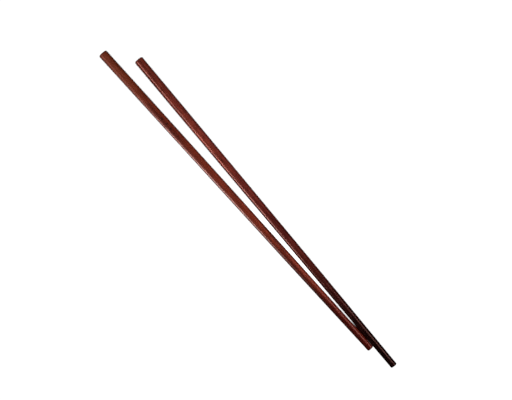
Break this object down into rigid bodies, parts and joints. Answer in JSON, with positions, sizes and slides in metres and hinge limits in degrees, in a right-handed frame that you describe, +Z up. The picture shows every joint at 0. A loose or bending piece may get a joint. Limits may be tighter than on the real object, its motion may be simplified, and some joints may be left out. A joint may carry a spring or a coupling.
{
  "type": "pair of wooden chopsticks",
  "caption": "Slender hardwood chopsticks lying side by side with their tips together: soft-cornered square grips that taper to round tips, for picking up food.",
  "frame": {"origin": "on the table, under the middle of the pair's footprint", "axes": "+X runs from the butts to the tips, midway between the headings of the two sticks, +Y from the left stick to the right one, and +Z up from the table"},
  "size_m": [0.289, 0.0216, 0.0063],
  "materials": {
    "left_wood": "red-brown hardwood, oiled to a satin sheen",
    "right_wood": "red-brown hardwood that darkens to near black at the tip, oiled to a satin sheen"
  },
  "bodies": {
    "root": {"left_chopstick": "left_wood", "right_chopstick": "right_wood"}
  },
  "joints": []
}
